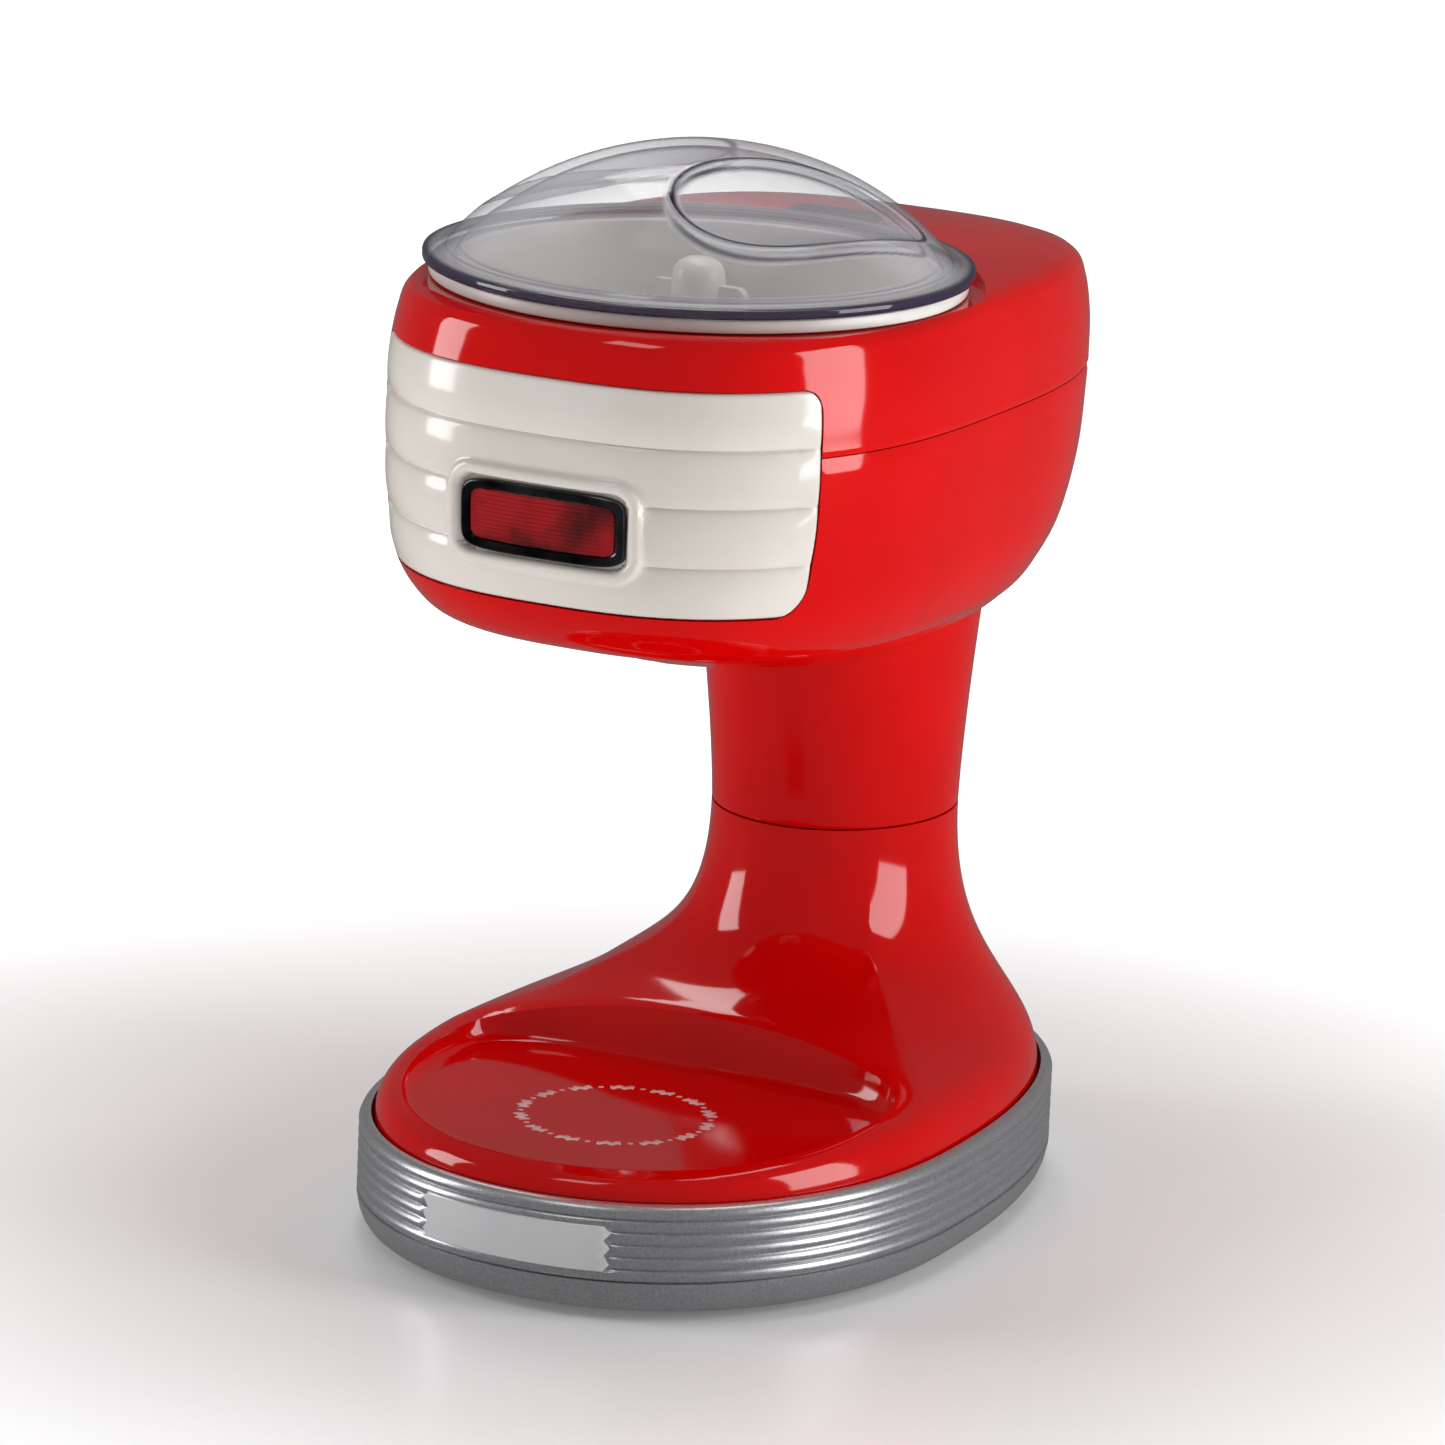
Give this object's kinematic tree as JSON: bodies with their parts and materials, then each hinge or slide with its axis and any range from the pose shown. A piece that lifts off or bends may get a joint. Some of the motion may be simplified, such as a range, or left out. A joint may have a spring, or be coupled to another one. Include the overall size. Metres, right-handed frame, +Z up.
{
  "type": "ice shaver",
  "caption": "Countertop electric ice shaver: domed clear lid over an ice bowl and rotor in a head, on a neck over a base with a round dish recess.",
  "frame": {"origin": "middle of the footprint, on the surface the feet stand on", "axes": "+Z up, the front with the badge faces -Y, +X to the right seen from the front"},
  "size_m": [0.1654, 0.2396, 0.299],
  "materials": {
    "red_abs": "moulded gloss red",
    "ivory_abs": "moulded gloss ivory",
    "silver_paint": "satin silver metallic paint",
    "blank_label": "gloss, blank",
    "white_abs": "satin white",
    "clear_plastic": "clear, polished",
    "dark_chrome": "dark chrome",
    "red_lens": "gloss, ribbed behind",
    "black_nylon": "fine texture",
    "rubber": "matt",
    "lead_jacket": "satin",
    "steel": "plain",
    "natural_nylon": "moulded",
    "brass": "machined",
    "copper_winding": "enamelled wire on a steel core",
    "circuit_board": "coated"
  },
  "bodies": {
    "stand": {"base_shell": "red_abs", "neck_column": "red_abs", "head_lower_shell": "red_abs", "head_top_cover": "red_abs", "front_panel": "ivory_abs", "base_band": "silver_paint", "label_plate": "blank_label", "ice_chute": "white_abs", "switch_holder": "white_abs", "badge_frame": "dark_chrome", "badge_lens": "red_lens", "bottom_cover": "black_nylon", "neck_sleeve": "black_nylon", "gearbox_tray": "black_nylon", "gearbox_cover": "black_nylon", "motor_end_cap": "black_nylon", "microswitch": "black_nylon", "board_capacitor": "black_nylon", "foot_front_left": "rubber", "foot_front_right": "rubber", "foot_rear_left": "rubber", "foot_rear_right": "rubber", "cord_gland": "rubber", "supply_lead": "lead_jacket", "motor_can": "steel", "idler_pin": "steel", "reduction_pin": "steel", "plunger_spring": "steel", "foot_screw_front_left": "steel", "foot_screw_front_right": "steel", "foot_screw_rear_left": "steel", "foot_screw_rear_right": "steel", "gearbox_screw_1": "steel", "gearbox_screw_2": "steel", "gearbox_screw_3": "steel", "gearbox_screw_4": "steel", "motor_screw_1": "steel", "motor_screw_2": "steel", "output_bush": "brass", "shaft_seal": "brass", "rectifier_board": "circuit_board"},
    "bowl": {"ice_bowl": "white_abs", "shaving_blade": "steel", "blade_screw_1": "steel", "blade_screw_2": "steel"},
    "rotor": {"ice_rotor": "white_abs"},
    "lid": {"lid": "clear_plastic"},
    "output": {"drive_shaft": "steel", "output_gear": "natural_nylon"},
    "idler": {"idler_gear": "natural_nylon"},
    "reduction": {"reduction_gear": "natural_nylon"},
    "armature": {"motor_shaft": "steel", "motor_pinion": "brass", "motor_core": "copper_winding"},
    "plunger": {"switch_plunger": "white_abs"}
  },
  "joints": [
    {"name": "bowl_lift", "type": "slide", "parent": "stand", "child": "bowl", "axis": [0, 0, 1], "range_m": [0, 0.12]},
    {"name": "lid_lift", "type": "slide", "parent": "bowl", "child": "lid", "axis": [0, 0, 1], "range_m": [0, 0.06]},
    {"name": "motor_turn", "type": "hinge", "parent": "stand", "child": "armature", "pos_m": [0, 0.062, 0.2], "axis": [0, 0, 1], "continuous": true},
    {"name": "reduction_turn", "type": "hinge", "parent": "stand", "child": "reduction", "pos_m": [-0.00331, 0.02816, 0.18], "axis": [0, 0, 1], "continuous": true},
    {"name": "idler_turn", "type": "hinge", "parent": "stand", "child": "idler", "pos_m": [0.007, 0.00484, 0.178], "axis": [0, 0, 1], "continuous": true},
    {"name": "output_turn", "type": "hinge", "parent": "stand", "child": "output", "pos_m": [0, -0.032, 0.178], "axis": [0, 0, 1], "continuous": true},
    {"name": "rotor_turn", "type": "hinge", "parent": "bowl", "child": "rotor", "pos_m": [0, -0.032, 0.204], "axis": [0, 0, 1], "continuous": true},
    {"name": "plunger_press", "type": "slide", "parent": "stand", "child": "plunger", "axis": [0, 0, -1], "range_m": [0, 0.003], "stiffness_N_per_m": 300, "springref_m": -0.001, "deforming": ["plunger_spring"]}
  ],
  "couplings": [
    {"joint": "reduction_turn", "follows": "motor_turn", "ratio": -0.21429},
    {"joint": "idler_turn", "follows": "motor_turn", "ratio": 0.15},
    {"joint": "output_turn", "follows": "motor_turn", "ratio": -0.1},
    {"joint": "rotor_turn", "follows": "motor_turn", "ratio": -0.1}
  ]
}
